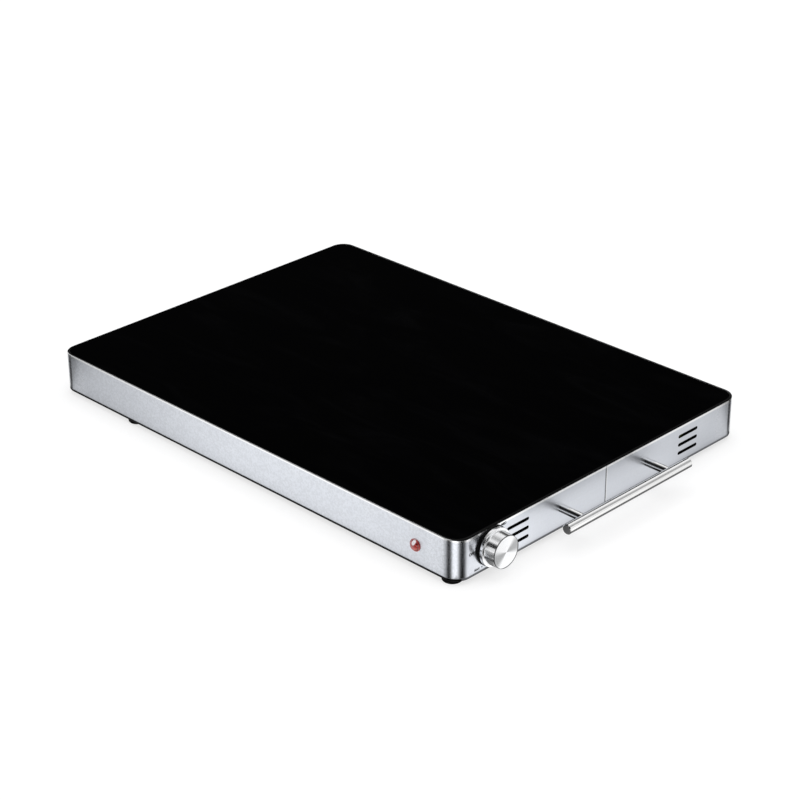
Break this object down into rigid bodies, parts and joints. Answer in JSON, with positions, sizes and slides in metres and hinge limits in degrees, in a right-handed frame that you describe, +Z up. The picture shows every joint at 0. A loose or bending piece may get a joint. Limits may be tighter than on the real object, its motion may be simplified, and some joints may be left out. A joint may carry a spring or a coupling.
{
  "type": "electric food warmer tray",
  "caption": "Flat buffet warming tray: black glass top in a brushed steel band, with a thermostat knob, pilot lamp, bar handle and a sheathed heater below the glass.",
  "frame": {"origin": "on the floor under the middle of the whole object's box, handle included; the tray body's own middle is 18.5 mm towards -X", "axes": "+X along the tray towards the control and handle end, -Y towards the long side with the pilot lamp, +Z up"},
  "size_m": [0.647, 0.4469, 0.051],
  "materials": {
    "brushed_steel": "brushed along the band",
    "polished_steel": "polished",
    "knob_metal": "turned and satin",
    "zinc_sheet": "galvanised sheet, dull",
    "black_sheet": "black stoved paint, satin",
    "aluminium_sheet": "mill finish",
    "element_sheath": "dark annealed steel",
    "zinc_hardware": "bright zinc",
    "brass_hardware": "plain",
    "copper_tube": "drawn copper",
    "black_glass": "polished, opaque black",
    "black_silicone": "matt",
    "black_rubber": "matt",
    "black_plastic": "fine moulded",
    "brown_phenolic": "moulded phenolic",
    "white_ceramic": "unglazed",
    "fibre_mat": "needled ceramic fibre",
    "red_lens": "clear red moulding",
    "lead_sleeve": "braided glass fibre",
    "earth_sleeve": "braided glass fibre, green"
  },
  "bodies": {
    "tray": {"rim_band": "brushed_steel", "seam_plate": "zinc_sheet", "support_ledge": "zinc_sheet", "glass_top": "black_glass", "glass_seal": "black_silicone", "heat_spreader": "aluminium_sheet", "spreader_clips": "zinc_sheet", "clip_screws": "zinc_hardware", "heating_element": "element_sheath", "element_terminals": "white_ceramic", "element_straps": "zinc_sheet", "strap_studs": "zinc_hardware", "strap_nuts": "brass_hardware", "insulation_mat": "fibre_mat", "heat_shield": "aluminium_sheet", "shield_posts": "brass_hardware", "post_screws": "zinc_hardware", "base_pan": "black_sheet", "base_screws": "zinc_hardware", "feet": "black_rubber", "foot_screws": "zinc_hardware", "foot_nuts": "brass_hardware", "handle_bar": "polished_steel", "handle_posts": "polished_steel", "handle_washers": "zinc_hardware", "handle_screws": "zinc_hardware", "knob_ring": "black_plastic", "thermostat_body": "brown_phenolic", "thermostat_plate": "zinc_sheet", "thermostat_screws": "zinc_hardware", "thermostat_tabs": "brass_hardware", "sensor_bulb": "copper_tube", "bulb_clips": "zinc_sheet", "thermal_cutout": "brown_phenolic", "cutout_screws": "zinc_hardware", "lamp_lens": "red_lens", "lamp_body": "black_plastic", "lamp_clip": "zinc_hardware", "lamp_tabs": "brass_hardware", "inlet_housing": "black_plastic", "inlet_pins": "brass_hardware", "inlet_screws": "zinc_hardware", "inlet_nuts": "brass_hardware", "terminal_block": "white_ceramic", "block_screws": "zinc_hardware", "earth_stud": "zinc_hardware", "earth_nut": "brass_hardware", "supply_leads": "lead_sleeve", "control_leads": "lead_sleeve", "element_leads": "lead_sleeve", "lamp_leads": "lead_sleeve", "earth_lead": "earth_sleeve"},
    "knob": {"knob_shell": "knob_metal", "knob_hub": "black_plastic", "thermostat_shaft": "brass_hardware"}
  },
  "joints": [
    {"name": "knob_turn", "type": "hinge", "parent": "tray", "child": "knob", "pos_m": [0.2865, -0.1712, 0.0294], "axis": [-1, 0, 0], "range_deg": [0, 300]}
  ]
}
